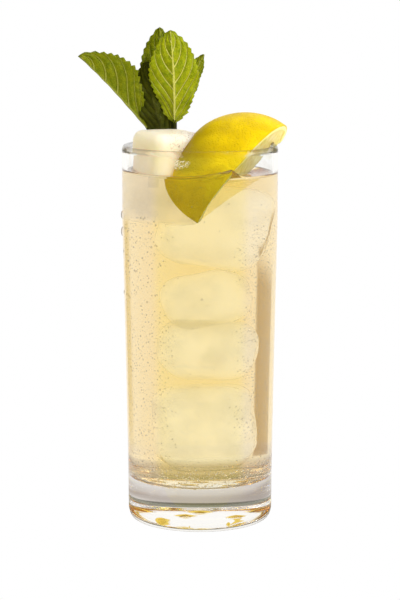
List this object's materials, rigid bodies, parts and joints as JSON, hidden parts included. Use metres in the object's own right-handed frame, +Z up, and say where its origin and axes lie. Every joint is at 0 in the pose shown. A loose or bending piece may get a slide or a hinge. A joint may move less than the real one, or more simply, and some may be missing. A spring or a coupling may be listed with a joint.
{
  "type": "moscow mule in a highball glass",
  "caption": "Tall straight glass of pale iced ginger drink, with an ice block above the surface, a lemon wedge slit onto the rim and a sprig of mint.",
  "frame": {"origin": "middle of the glass's flat underside, on the surface that the glass stands on", "axes": "+Z up along the glass, -Y the front that the picture shows, +X to the right, where the lemon hangs over the rim"},
  "size_m": [0.0871, 0.0644, 0.2045],
  "materials": {
    "glass": "clear polished soda-lime glass",
    "drink": "clear pale straw-coloured liquid",
    "ice": "wet, slightly cloudy ice",
    "lemon": "waxy yellow lemon rind with pale pith and flesh, as food",
    "mint": "soft green mint leaf, as food"
  },
  "bodies": {
    "root": {"glass": "glass", "drink": "drink", "ice_block": "ice", "lemon_wedge": "lemon", "mint_sprig": "mint"}
  },
  "joints": []
}
